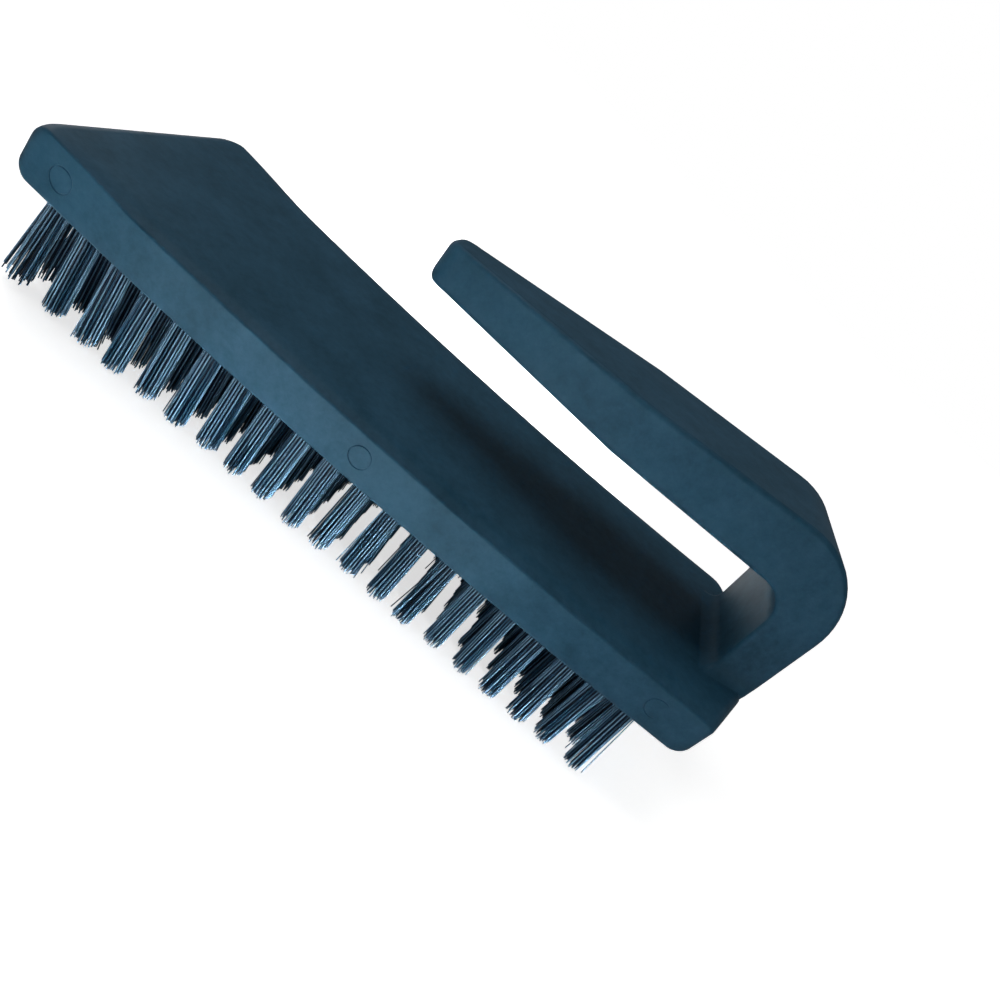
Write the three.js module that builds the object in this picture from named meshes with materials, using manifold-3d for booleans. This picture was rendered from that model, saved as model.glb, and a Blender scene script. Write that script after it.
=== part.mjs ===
// Anti-static hand brush: one moulding of block, post and handle, filled with tufts of bristle.
// Millimetres. X runs along the block towards the post, Z is up, and the tips stand on Z = 0.
import * as THREE from 'three';
import { mergeVertices } from 'three/addons/utils/BufferGeometryUtils.js';
import Module from 'manifold-3d';

// Block sizes
const BLOCK_LENGTH = 179;
const BLOCK_WIDTH = 60;
const BLOCK_THICKNESS = 12;
const BOW_RISE = 2.8; // the two ends stand this much higher than the middle
const REAR_CORNER_SETBACK = 6.5; // the rear end slants forward to its corners by this much
const TOP_EDGE_RADIUS = 13.5; // the top rounds down to the side faces
const TOP_EDGE_CUT = 8; // the side faces cut off this much of that rounding and leave a crease
const SIDE_EDGE_RADIUS = 1; // edges of the side faces with the underside and the ends
const LOWER_CORNER_RADIUS = 3.2;
const REAR_UPPER_RADIUS = 2.6;
const FRONT_UPPER_RADIUS = 3.5;

// Handle sizes
const HANDLE_EDGE_RADIUS = 2;
const HANDLE_LENGTH = 110.7; // from the nose to the rear end
const FINGER_GAP = 21.2; // from the block up to the bar, at the nose
const NOSE_DEPTH = 9.5; // height of the bar at the nose
const BAR_TOP_RISE = 11; // over the handle's length
const BAR_UNDERSIDE_RISE = 4.4;
const NOSE_WIDTH = 10;
const HEEL_WIDTH = 29.5;
const TAPER_LENGTH = 52; // from the nose to where the bar has its full width
const POST_WIDTH = 29;
const POST_FOOT_DEPTH = 10.3; // along X
const POST_HEAD_DEPTH = 10.4;
const POST_LEAN = 1.4; // the post's rear face leans forward by this much
const INNER_BEND_RADIUS = 7;
const OUTER_BEND_RADIUS = 18;
const FOOT_FRONT_RADIUS = 3.8; // fillets where the post meets the block
const FOOT_SIDE_RADIUS = 3.8;
const FOOT_SINK = 3.5; // the post starts this deep in the block
const ROUND_SHARE = 0.9; // most of the handle's half width or half depth that a rounding takes

// Bristle sizes
const BRISTLE_LENGTH = 22; // from the block to the tip, untrimmed
const TIP_TRIM = 1; // the middle tufts are trimmed level by up to this much
const COLUMN_PITCH = 8; // along X
const ROW_PITCH = 6.25; // along Y
const FRONT_MARGIN = 8.4; // from the front end to the first column
const REAR_MARGIN = 11.5; // least, from the last column to the rear corners
const SIDE_MARGIN = 4.6; // least, from the outer rows to the side faces
const STRAND_ROOT_SIDE = 1.6;
const STRAND_TIP_SIDE = 1.4;
const STRAND_ROOT_OFFSET = 1.2; // from the tuft's middle
const STRAND_TIP_OFFSET = 1.5;
const STRAND_SINK = 1; // the root starts this deep in the slice
const TURN_STEPS = 3; // ways in which the pairs of strands are turned

// Slices of the block that hold the tufts
const SLICE_NAMES = ['front_tufts', 'mid_front_tufts', 'mid_rear_tufts', 'rear_tufts'];
const SLICE_DEPTH = 3;
const SLICE_BORDER = 2.4; // from the outer tufts' middles to the slice's edge
const SLICE_GAP = 0.3; // to the pocket and to the next slice

// Facets
const LENGTH_STEPS = 14;
const CORNER_STEPS = 4;
const EDGE_STEPS = 3;
const BEND_STEPS = 7;
const NOSE_STEPS = 5;
const FOOT_STEPS = 5;

// Places worked out from the sizes
const FRONT_X = -BLOCK_LENGTH / 2;
const REAR_X = BLOCK_LENGTH / 2;
const HALF_WIDTH = BLOCK_WIDTH / 2;
const UNDERSIDE_Z = BRISTLE_LENGTH - TIP_TRIM;
const TOP_Z = UNDERSIDE_Z + BLOCK_THICKNESS;
const NOSE_X = REAR_X - HANDLE_LENGTH;
const REAR_FLAT_HALF = POST_WIDTH / 2;

const wasm = await Module();
wasm.setup();

// A closed geometry becomes a solid that can be joined and cut.
function toSolid(geometry) {
  const plain = geometry.clone();
  plain.deleteAttribute('normal');
  plain.deleteAttribute('uv');
  const merged = mergeVertices(plain, 1e-4);
  const vertProperties = new Float32Array(merged.attributes.position.array);
  const triVerts = new Uint32Array(merged.index.array);
  return new wasm.Manifold(new wasm.Mesh({ numProp: 3, vertProperties, triVerts }));
}

// A solid becomes a flat-shaded geometry again.
function toGeometry(solid) {
  const mesh = solid.getMesh();
  const indexed = new THREE.BufferGeometry();
  indexed.setAttribute('position', new THREE.BufferAttribute(new Float32Array(mesh.vertProperties), 3));
  indexed.setIndex(new THREE.BufferAttribute(new Uint32Array(mesh.triVerts), 1));
  const geometry = indexed.toNonIndexed();
  geometry.computeVertexNormals();
  return geometry;
}

// A skin over rings of as many points each, closed by flat ends.
// flatten gives the plane in which the end rings are filled.
function loft(rings, flatten) {
  const count = rings[0].length;
  const points = rings.flat();
  const triangles = [];
  for (let ring = 0; ring + 1 < rings.length; ring += 1) {
    for (let i = 0; i < count; i += 1) {
      const a = ring * count + i;
      const b = ring * count + ((i + 1) % count);
      triangles.push(a, b, b + count, a, b + count, a + count);
    }
  }
  const lastStart = points.length - count;
  for (const [a, b, c] of fillRing(rings[0].map(flatten))) triangles.push(c, b, a);
  for (const [a, b, c] of fillRing(rings.at(-1).map(flatten))) {
    triangles.push(lastStart + a, lastStart + b, lastStart + c);
  }
  const geometry = new THREE.BufferGeometry().setFromPoints(points);
  geometry.setIndex(triangles);
  const solid = toSolid(geometry);
  return solid.volume() > 0 ? solid : toSolid(turnedInsideOut(geometry));
}

// Triangles that fill a flat ring and run round it the same way as its points do.
function fillRing(ring) {
  const isClockwise = THREE.ShapeUtils.isClockWise(ring);
  return THREE.ShapeUtils.triangulateShape(ring, []).map(([a, b, c]) => {
    const sameWay = THREE.ShapeUtils.isClockWise([ring[a], ring[b], ring[c]]) === isClockwise;
    return sameWay ? [a, b, c] : [c, b, a];
  });
}

function turnedInsideOut(geometry) {
  const index = Array.from(geometry.index.array);
  for (let i = 0; i < index.length; i += 3) {
    [index[i], index[i + 1]] = [index[i + 1], index[i]];
  }
  const turned = geometry.clone();
  turned.setIndex(index);
  return turned;
}

// How far the block's bow lifts it, and how it slopes, at x.
const bow = (x) => BOW_RISE * (x / REAR_X) ** 2;
const bowSlope = (x) => (2 * BOW_RISE * x) / REAR_X ** 2;

// How far a quarter round of that radius stands off the wall at a height above the floor it meets.
function filletReach(radius, height) {
  if (height >= radius) return 0;
  return radius - Math.sqrt(radius ** 2 - (radius - height) ** 2);
}

function arcPoints(centre, radius, from, to, steps) {
  const points = [];
  for (let i = 0; i <= steps; i += 1) {
    const angle = from + ((to - from) * i) / steps;
    const offset = new THREE.Vector2(Math.cos(angle), Math.sin(angle)).multiplyScalar(radius);
    points.push(offset.add(centre));
  }
  return points;
}

// The block's side view at one y: a bowed bar with round corners, drawn in by the edge rounding.
function blockRing(y) {
  const inset = filletReach(TOP_EDGE_RADIUS, HALF_WIDTH + TOP_EDGE_CUT - Math.abs(y));
  const sideInset = filletReach(SIDE_EDGE_RADIUS, HALF_WIDTH - Math.abs(y));
  const slant = Math.max(0, Math.abs(y) - REAR_FLAT_HALF) / (HALF_WIDTH - REAR_FLAT_HALF);
  const front = FRONT_X + sideInset;
  const rear = REAR_X - REAR_CORNER_SETBACK * slant - sideInset;
  const low = UNDERSIDE_Z + sideInset;
  const high = TOP_Z - inset;
  const lower = LOWER_CORNER_RADIUS - sideInset;
  const upper = REAR_UPPER_RADIUS - inset;
  const frontUpper = FRONT_UPPER_RADIUS - inset;
  const quarter = Math.PI / 2;
  const outline = [
    ...arcPoints({ x: rear - lower, y: low + lower }, lower, -quarter, 0, CORNER_STEPS),
    ...arcPoints({ x: rear - upper, y: high - upper }, upper, 0, quarter, CORNER_STEPS),
    ...between(rear - upper, front + frontUpper, LENGTH_STEPS).map((x) => new THREE.Vector2(x, high)),
    ...arcPoints(
      { x: front + frontUpper, y: high - frontUpper }, frontUpper, quarter, 2 * quarter, CORNER_STEPS),
    ...arcPoints({ x: front + lower, y: low + lower }, lower, 2 * quarter, 3 * quarter, CORNER_STEPS),
    ...between(front + lower, rear - lower, LENGTH_STEPS).map((x) => new THREE.Vector2(x, low)),
  ];
  return outline.map((p) => new THREE.Vector3(p.x, y, p.y + bow(p.x)));
}

// The places strictly between two values that split the way into equal steps.
function between(from, to, steps) {
  return Array.from({ length: steps - 1 }, (_, i) => from + ((to - from) * (i + 1)) / steps);
}

function makeBlock() {
  const steps = Array.from({ length: EDGE_STEPS + 1 }, (_, i) => i / EDGE_STEPS);
  const quarter = Math.PI / 2;
  const creaseAngle = Math.acos(1 - TOP_EDGE_CUT / TOP_EDGE_RADIUS);
  const sideStations = steps.map((t) => HALF_WIDTH - SIDE_EDGE_RADIUS * (1 - Math.cos(t * quarter)));
  const topStations = steps.slice(1).map((t) => {
    const angle = creaseAngle + (quarter - creaseAngle) * t;
    return HALF_WIDTH + TOP_EDGE_CUT - TOP_EDGE_RADIUS * (1 - Math.cos(angle));
  });
  const halfStations = [...sideStations, ...topStations, REAR_FLAT_HALF].toSorted((a, b) => b - a);
  const stations = [...halfStations.map((y) => -y), ...halfStations.toReversed()];
  return loft(stations.map(blockRing), (p) => new THREE.Vector2(p.x, p.z));
}

// A bar that follows the bow from x0 to x1, between two heights on the straight block.
function bowedBar(x0, x1, low, high, halfWidth) {
  const xs = [x0, ...between(x0, x1, LENGTH_STEPS), x1];
  const ring = (y) => [
    ...xs.map((x) => new THREE.Vector3(x, y, low + bow(x))),
    ...xs.toReversed().map((x) => new THREE.Vector3(x, y, high + bow(x))),
  ];
  return loft([ring(-halfWidth), ring(halfWidth)], (p) => new THREE.Vector2(p.x, p.z));
}

// The round corner between two straight lines, from the end of the first to the start of the second.
function cornerArc(start, corner, end, radius, steps) {
  const inward = start.clone().sub(corner).normalize();
  const onward = end.clone().sub(corner).normalize();
  const halfAngle = Math.acos(inward.dot(onward)) / 2;
  const middle = inward.clone().add(onward).normalize();
  const centre = corner.clone().addScaledVector(middle, radius / Math.sin(halfAngle));
  const tangent = radius / Math.tan(halfAngle);
  const first = corner.clone().addScaledVector(inward, tangent).sub(centre);
  const last = corner.clone().addScaledVector(onward, tangent).sub(centre);
  const turn = Math.atan2(first.cross(last), first.dot(last));
  return arcPoints(centre, radius, first.angle(), first.angle() + turn, steps);
}

// A rounded rectangle across the handle, from its inner to its outer side in the side view.
function handleRing({ inner, outer, half }) {
  const depth = inner.distanceTo(outer);
  const across = outer.clone().sub(inner).normalize();
  const radius = Math.min(HANDLE_EDGE_RADIUS, ROUND_SHARE * half, (ROUND_SHARE * depth) / 2);
  const ring = [];
  for (let quadrant = 0; quadrant < 4; quadrant += 1) {
    const toOuter = quadrant === 0 || quadrant === 1;
    const toFar = quadrant === 0 || quadrant === 3;
    const centre = { x: toFar ? half - radius : radius - half, y: toOuter ? depth - radius : radius };
    const from = (quadrant * Math.PI) / 2;
    for (const p of arcPoints(centre, radius, from, from + Math.PI / 2, EDGE_STEPS)) {
      ring.push(new THREE.Vector3(inner.x + across.x * p.y, p.x, inner.y + across.y * p.y));
    }
  }
  return ring;
}

// The handle from its nose, along the bar, round the bend and down the post into the block.
function makeHandle() {
  const footZ = TOP_Z + bow(REAR_X);
  const underNose = new THREE.Vector2(NOSE_X, TOP_Z + FINGER_GAP);
  const topNose = new THREE.Vector2(NOSE_X, underNose.y + NOSE_DEPTH);
  const headX = REAR_X - POST_LEAN;
  const innerCorner = new THREE.Vector2(headX - POST_HEAD_DEPTH, underNose.y + BAR_UNDERSIDE_RISE);
  const outerCorner = new THREE.Vector2(headX, topNose.y + BAR_TOP_RISE);
  const innerFoot = new THREE.Vector2(REAR_X - POST_FOOT_DEPTH, footZ);
  const outerFoot = new THREE.Vector2(REAR_X, footZ);
  const innerBend = cornerArc(underNose, innerCorner, innerFoot, INNER_BEND_RADIUS, BEND_STEPS);
  const outerBend = cornerArc(topNose, outerCorner, outerFoot, OUTER_BEND_RADIUS, BEND_STEPS);

  // The nose is round in plan and in the side view, and the bar widens from it to the heel.
  const noseHalf = NOSE_WIDTH / 2;
  const barLength = innerBend[0].x - NOSE_X;
  const barStation = (along, half) => {
    const inner = underNose.clone().lerp(innerBend[0], along / barLength);
    const outer = topNose.clone().lerp(outerBend[0], along / barLength);
    const roundOff = filletReach(HANDLE_EDGE_RADIUS, along);
    inner.y += roundOff;
    outer.y -= roundOff;
    return { inner, outer, half };
  };
  const stations = [];
  for (let i = 1; i <= NOSE_STEPS; i += 1) {
    const angle = (i / NOSE_STEPS) * (Math.PI / 2);
    stations.push(barStation(noseHalf * (1 - Math.cos(angle)), noseHalf * Math.sin(angle)));
  }
  stations.push(barStation(TAPER_LENGTH, HEEL_WIDTH / 2));
  innerBend.forEach((inner, i) => stations.push({ inner, outer: outerBend[i], half: HEEL_WIDTH / 2 }));

  // The post's foot spreads in fillets to the front and to both sides.
  for (let i = FOOT_STEPS; i >= 0; i -= 1) {
    const height = FOOT_FRONT_RADIUS * (1 - Math.cos((i / FOOT_STEPS) * (Math.PI / 2)));
    const inner = innerFoot.clone();
    inner.x -= filletReach(FOOT_FRONT_RADIUS, height);
    inner.y = TOP_Z + bow(inner.x) + height;
    const outer = outerFoot.clone();
    outer.y += height;
    stations.push({ inner, outer, half: POST_WIDTH / 2 + filletReach(FOOT_SIDE_RADIUS, height) });
  }
  const sink = new THREE.Vector2(0, -FOOT_SINK);
  const sunkInner = innerFoot.clone().add(sink);
  const sunkOuter = outerFoot.clone().add(sink);
  stations.push({ inner: sunkInner, outer: sunkOuter, half: POST_WIDTH / 2 });
  const handle = loft(stations.map(handleRing), (p) => new THREE.Vector2(p.y, p.z + p.x));
  return handle.intersect(planPrism());
}

// An upright prism on the block's outline from above, which trims the foot at the slanted rear end.
function planPrism() {
  const corner = REAR_X - REAR_CORNER_SETBACK;
  const outline = new THREE.Shape([
    new THREE.Vector2(FRONT_X, -HALF_WIDTH),
    new THREE.Vector2(corner, -HALF_WIDTH),
    new THREE.Vector2(REAR_X, -REAR_FLAT_HALF),
    new THREE.Vector2(REAR_X, REAR_FLAT_HALF),
    new THREE.Vector2(corner, HALF_WIDTH),
    new THREE.Vector2(FRONT_X, HALF_WIDTH),
  ]);
  const height = TOP_Z + FINGER_GAP + NOSE_DEPTH + BAR_TOP_RISE;
  return toSolid(new THREE.ExtrudeGeometry(outline, { depth: height, bevelEnabled: false }));
}

// The grid of tufts: as many columns and rows as the block has room for.
function tuftGrid() {
  const firstX = FRONT_X + FRONT_MARGIN;
  const lastX = REAR_X - REAR_CORNER_SETBACK - REAR_MARGIN;
  const columns = Math.floor((lastX - firstX) / COLUMN_PITCH) + 1;
  const rows = Math.floor((BLOCK_WIDTH - 2 * SIDE_MARGIN) / ROW_PITCH) + 1;
  const xs = Array.from({ length: columns }, (_, i) => firstX + i * COLUMN_PITCH);
  const ys = Array.from({ length: rows }, (_, i) => (i - (rows - 1) / 2) * ROW_PITCH);
  return { xs, ys };
}

// One strand: four sides, square to the bowed block, cut level at its tip.
function strandGeometry(x, y, aside, turn) {
  const lean = -bowSlope(x);
  const rootZ = UNDERSIDE_Z + bow(x);
  const tipZ = Math.max(0, rootZ - BRISTLE_LENGTH);
  const ring = (z, offset, side) => {
    const middleX = x + lean * (z - rootZ) + aside * offset * Math.cos(turn);
    const middleY = y + aside * offset * Math.sin(turn);
    return [45, 135, 225, 315].map((degrees) => {
      const angle = turn + THREE.MathUtils.degToRad(degrees);
      const reach = side / Math.SQRT2;
      return new THREE.Vector3(middleX + reach * Math.cos(angle), middleY + reach * Math.sin(angle), z);
    });
  };
  const root = ring(rootZ + STRAND_SINK, STRAND_ROOT_OFFSET, STRAND_ROOT_SIDE);
  const tip = ring(tipZ, STRAND_TIP_OFFSET, STRAND_TIP_SIDE);
  return loft([root, tip], (p) => new THREE.Vector2(p.x, p.y));
}

// A slice of the block with its tufts. Each tuft is a pair of strands, turned by its place.
function makeSlice(xs, ys, x0, x1) {
  const halfWidth = ys.at(-1) + SLICE_BORDER;
  let slice = bowedBar(x0, x1, UNDERSIDE_Z, UNDERSIDE_Z + SLICE_DEPTH, halfWidth);
  xs.forEach((x, column) => {
    ys.forEach((y, row) => {
      const turn = ((column * 2 + row) % TURN_STEPS) * (Math.PI / TURN_STEPS);
      for (const aside of [-1, 1]) slice = slice.add(strandGeometry(x, y, aside, turn));
    });
  });
  return slice;
}

const plastic = new THREE.MeshStandardMaterial({ color: 0x2b4b5e, roughness: 0.5, metalness: 0 });
const filament = new THREE.MeshStandardMaterial({ color: 0x344a5c, roughness: 0.4, metalness: 0 });

function addNode(group, name, solid, material) {
  const mesh = new THREE.Mesh(toGeometry(solid), material);
  mesh.name = name;
  group.add(mesh);
}

const { xs, ys } = tuftGrid();
const fieldStart = xs[0] - SLICE_BORDER;
const fieldEnd = xs.at(-1) + SLICE_BORDER;
const pocket = bowedBar(
  fieldStart - SLICE_GAP,
  fieldEnd + SLICE_GAP,
  UNDERSIDE_Z - SLICE_DEPTH,
  UNDERSIDE_Z + SLICE_DEPTH + SLICE_GAP,
  ys.at(-1) + SLICE_BORDER + SLICE_GAP,
);

const brush = new THREE.Group();
addNode(brush, 'body', makeBlock().add(makeHandle()).subtract(pocket), plastic);

// The columns are shared out over the slices, which meet half way between two columns.
SLICE_NAMES.forEach((name, i) => {
  const first = Math.round((i * xs.length) / SLICE_NAMES.length);
  const end = Math.round(((i + 1) * xs.length) / SLICE_NAMES.length);
  const joint = (COLUMN_PITCH - SLICE_GAP) / 2;
  const x0 = first === 0 ? fieldStart : xs[first] - joint;
  const x1 = end === xs.length ? fieldEnd : xs[end - 1] + joint;
  addNode(brush, name, makeSlice(xs.slice(first, end), ys, x0, x1), filament);
});

export default brush;
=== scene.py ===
# %% [markdown]
# A hand brush for work that static would harm. Its body is one dark moulding: a long block that is
# slightly bowed, a post at its rear end and a handle bar that reaches forward over the block. Below,
# rows of tufts of stiff conductive bristle stand in holes in the block. We start by loading the packed
# part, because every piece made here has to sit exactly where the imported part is.

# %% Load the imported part
import math
import random
from collections import namedtuple

import bmesh
import bpy
from mathutils import Matrix, Vector


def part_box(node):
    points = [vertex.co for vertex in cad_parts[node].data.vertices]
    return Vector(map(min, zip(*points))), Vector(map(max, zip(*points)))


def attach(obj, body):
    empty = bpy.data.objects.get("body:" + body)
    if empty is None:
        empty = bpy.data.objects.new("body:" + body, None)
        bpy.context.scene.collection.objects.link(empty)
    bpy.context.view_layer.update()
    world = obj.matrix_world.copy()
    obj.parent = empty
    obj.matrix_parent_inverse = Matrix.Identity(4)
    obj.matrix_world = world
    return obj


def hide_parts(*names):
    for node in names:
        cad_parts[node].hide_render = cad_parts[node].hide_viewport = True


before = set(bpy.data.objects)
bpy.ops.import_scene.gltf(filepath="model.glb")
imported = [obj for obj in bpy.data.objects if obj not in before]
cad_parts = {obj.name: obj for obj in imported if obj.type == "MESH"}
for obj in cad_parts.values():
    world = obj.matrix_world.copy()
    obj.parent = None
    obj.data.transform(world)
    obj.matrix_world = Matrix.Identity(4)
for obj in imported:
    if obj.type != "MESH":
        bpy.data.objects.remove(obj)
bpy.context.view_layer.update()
print("nodes", sorted(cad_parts))

# %% [markdown]
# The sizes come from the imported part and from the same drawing. Blender works in metres, so the
# millimetres of the drawing are turned into metres once, here.

# %% Sizes of the block
MM = 0.001
body_low, body_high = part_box("body")
FRONT_X = body_low.x
REAR_X = body_high.x
HALF_WIDTH = body_high.y
UNDERSIDE_Z = 21 * MM
TOP_Z = 33 * MM
BOW_RISE = 2.8 * MM
REAR_CORNER_SETBACK = 6.5 * MM
REAR_FLAT_HALF = 14.5 * MM
print("block from", round(FRONT_X, 4), "to", round(REAR_X, 4))


def bow(x):
    """How far the bow lifts the block at x."""
    return BOW_RISE * (x / REAR_X) ** 2


# %% [markdown]
# Modelling by hand means selecting and then using a tool. These helpers do the selecting: one leaves
# nothing selected, one selects a single thing to work on, and one picks vertices, edges or faces by a
# test on their place. Two places count as the same within a small distance in metres.

# %% Helpers for selecting
NEAR = 1e-5
EXACT = 1e-7


def clear_selection():
    if bpy.context.object and bpy.context.object.mode != 'OBJECT':
        bpy.ops.object.mode_set(mode='OBJECT')
    bpy.ops.object.select_all(action='DESELECT')


def work_on(thing):
    clear_selection()
    thing.select_set(True)
    bpy.context.view_layer.objects.active = thing


def pick(kind, test):
    """Selects in edit mode the vertices, edges or faces that pass the test."""
    bpy.ops.mesh.select_mode(type=kind)
    bpy.ops.mesh.select_all(action='DESELECT')
    mesh = bmesh.from_edit_mesh(bpy.context.object.data)
    items = {'VERT': mesh.verts, 'EDGE': mesh.edges, 'FACE': mesh.faces}[kind]
    chosen = [item for item in items if test(item)]
    for item in chosen:
        item.select_set(True)
    mesh.select_flush_mode()
    bmesh.update_edit_mesh(bpy.context.object.data)
    return len(chosen)


# %% [markdown]
# The block starts as a box, narrower than the block by the band where its top rounds down to the side
# faces. Its four cross edges get their own roundings, small above the rear end and larger elsewhere. A
# bevel of many segments is the plainest tool for a true quarter round.

# %% Box and cross edges of the block
TOP_ROUND_RADIUS = 13.5 * MM
TOP_ROUND_CUT = 8 * MM
FRONT_TOP_RADIUS = 3.5 * MM
REAR_TOP_RADIUS = 2.6 * MM
BOTTOM_RADIUS = 3.2 * MM
FLAT_HALF_WIDTH = HALF_WIDTH + TOP_ROUND_CUT - TOP_ROUND_RADIUS
CROSS_ROUNDINGS = [
    ('front top', FRONT_X, TOP_Z, FRONT_TOP_RADIUS),
    ('rear top', REAR_X, TOP_Z, REAR_TOP_RADIUS),
    ('front bottom', FRONT_X, UNDERSIDE_Z, BOTTOM_RADIUS),
    ('rear bottom', REAR_X, UNDERSIDE_Z, BOTTOM_RADIUS),
]

clear_selection()
bpy.ops.mesh.primitive_cube_add(size=1, location=(0, 0, (UNDERSIDE_Z + TOP_Z) / 2))
body = bpy.context.object
body.name = "moulded_body"
body.scale = (REAR_X - FRONT_X, 2 * FLAT_HALF_WIDTH, TOP_Z - UNDERSIDE_Z)
bpy.ops.object.transform_apply(location=True, rotation=True, scale=True)
bpy.ops.object.mode_set(mode='EDIT')
for title, x, z, radius in CROSS_ROUNDINGS:
    at_edge = lambda v: abs(v.co.x - x) < NEAR and abs(v.co.z - z) < NEAR
    found = pick('EDGE', lambda edge: all(at_edge(v) for v in edge.verts))
    bpy.ops.mesh.bevel(offset=radius, segments=8, profile=0.5, affect='EDGES')
    print("rounded", found, title, "edge to", round(radius / MM, 1), "mm")

# %% [markdown]
# Towards its side faces the top will fall off in a gentle round, so each side face is extruded outwards
# in narrow steps that the round can follow later. The last step is wide enough to hold the rounding of
# the front edges. The front corners lean back: the higher a vertex and the nearer it is to the side
# face, the further it is drawn back.

# %% Bands along the side faces
BAND_SHARES = [0, 0.16, 0.32, 0.48, 0.63, 1]
FRONT_LEAN = 1.8 * MM
PLACE_DIGITS = 6

band_width = HALF_WIDTH - FLAT_HALF_WIDTH
reaches = [FLAT_HALF_WIDTH + band_width * share for share in BAND_SHARES]
for side in (-1, 1):
    for near_y, far_y in zip(reaches, reaches[1:]):
        pick('FACE', lambda face: all(abs(v.co.y - side * near_y) < EXACT for v in face.verts))
        step = (0, side * (far_y - near_y), 0)
        bpy.ops.mesh.extrude_region_move(TRANSFORM_OT_translate={"value": step})

lean_foot = UNDERSIDE_Z + BOTTOM_RADIUS
in_front = lambda v: v.co.x < FRONT_X + FRONT_TOP_RADIUS + NEAR and v.co.z > lean_foot + NEAR
height_of = lambda v: round(v.co.z, PLACE_DIGITS)
heights = sorted({height_of(v) for v in bmesh.from_edit_mesh(body.data).verts if in_front(v)})
for band_share, reach_y in zip(BAND_SHARES, reaches):
    at_reach = lambda v: abs(abs(v.co.y) - reach_y) < EXACT
    for z in heights:
        share = band_share ** 2 * (z - lean_foot) / (TOP_Z - lean_foot)
        pick('VERT', lambda v: in_front(v) and at_reach(v) and height_of(v) == z)
        bpy.ops.transform.translate(value=(FRONT_LEAN * share, 0, 0))
print("front corners lean back", round(FRONT_LEAN / MM, 1), "mm over", len(heights), "heights")

# %% [markdown]
# The rear end is not square. Its middle stands straight across, as wide as the post, and its outer
# parts slant forward to the corners. Two cuts along the block give the break lines, and the rear
# vertices are then pushed forward, the more the nearer they are to a side face.

# %% Slanted rear end
REAR_DEPTH = 4 * MM


def bisect_all(place, normal):
    """Cuts the whole mesh in edit mode by a plane."""
    bpy.ops.mesh.select_all(action='SELECT')
    bpy.ops.mesh.bisect(plane_co=place, plane_no=normal, threshold=EXACT)


at_rear = lambda v: v.co.x > REAR_X - REAR_DEPTH
for side in (-1, 1):
    bisect_all((0, side * REAR_FLAT_HALF, 0), (0, 1, 0))
for reach_y in reaches:
    share = (reach_y - REAR_FLAT_HALF) / (HALF_WIDTH - REAR_FLAT_HALF)
    moved = pick('VERT', lambda v: abs(abs(v.co.y) - reach_y) < EXACT and at_rear(v))
    bpy.ops.transform.translate(value=(-REAR_CORNER_SETBACK * share, 0, 0))
print("moved", moved, "vertices of the rear corners by", round(REAR_CORNER_SETBACK / MM, 1), "mm")

# %% [markdown]
# The box is cut into short slices along its length, so that the fall of the top and the bow of the block
# can be curves. The top falls off along a part of a circle and meets the side face in a crease. At the
# front corners the fall starts from nothing and grows over a short length.

# %% Slices and the fall of the top
SLICES = 36
FIRST_SLICE_X = FRONT_X + 7 * MM
SLICED_LENGTH = REAR_X - FRONT_X - 22 * MM
FALL_START = FRONT_X + 5 * MM
FALL_LENGTH = 24 * MM


def fall_share(x):
    """How much of the full fall the top has at x."""
    share = min(1, max(0, (x - FALL_START) / FALL_LENGTH))
    return share * share * (3 - 2 * share)


for i in range(SLICES):
    bisect_all((FIRST_SLICE_X + SLICED_LENGTH * i / SLICES, 0, 0), (1, 0, 0))

place_of = lambda v: tuple(round(number, PLACE_DIGITS) for number in (v.co.x, abs(v.co.y), v.co.z))
fall_foot = TOP_Z - REAR_TOP_RADIUS
upper = [v for v in bmesh.from_edit_mesh(body.data).verts if v.co.z > fall_foot + NEAR]
upper_places = {place_of(v) for v in upper}
for spot in sorted(upper_places):
    x, y, z = spot
    out = max(0, y - FLAT_HALF_WIDTH)
    full_fall = TOP_ROUND_RADIUS - math.sqrt(TOP_ROUND_RADIUS ** 2 - out ** 2)
    fall = full_fall * fall_share(x) * (z - fall_foot) / REAR_TOP_RADIUS
    if fall > 0:
        pick('VERT', lambda v: place_of(v) == spot)
        bpy.ops.transform.translate(value=(0, 0, -fall))
print("pressed down", len(upper_places), "places of the top")

# %% [markdown]
# Seen from the side, the block is bowed: both ends stand a little higher than the middle. Each ring of
# vertices is lifted to its place on the curve.

# %% Bow of the block
along_of = lambda v: round(v.co.x, PLACE_DIGITS)
places = sorted({along_of(v) for v in bmesh.from_edit_mesh(body.data).verts})
for x in places:
    pick('VERT', lambda v: along_of(v) == x)
    bpy.ops.transform.translate(value=(0, 0, bow(x)))
print("lifted", len(places), "rings of the block")

# %% [markdown]
# The edges of the long side faces are rounded a little below and at the rear, more around the front
# corners and less along the crease on top. One bevel modifier makes them all, with a weight on each edge
# that says how much of its width the edge takes. The weights change only around the corners and slowly,
# because two edges in line with different weights would fold the bevel over. The modifier is applied at
# once, so that the mesh itself keeps the result.

# %% Edges of the side faces
FRONT_EDGE_RADIUS = 1.8 * MM
LOW_SHARE = 0.45
CREASE_SHARE = 0.25
LEAN_SINE = 0.2
SIDE_FACING = 0.99
OTHER_FACING = 0.9


def apply_modifier(thing, kind, **settings):
    work_on(thing)
    modifier = thing.modifiers.new(kind.lower(), kind)
    for name, value in settings.items():
        setattr(modifier, name, value)
    bpy.ops.object.modifier_apply(modifier=modifier.name)


def edge_share(normal):
    """The share of the full rounding for an edge, from the face that meets the side face there."""
    steep = math.hypot(normal.x, normal.z)
    forward = max(0, -normal.x / steep)
    upward = max(0, (normal.z / steep - LEAN_SINE) / (1 - LEAN_SINE))
    plain = 1 if normal.x < 0 < normal.z else LOW_SHARE + (1 - LOW_SHARE) * forward ** 2
    return plain + (CREASE_SHARE - plain) * upward ** 2


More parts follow.
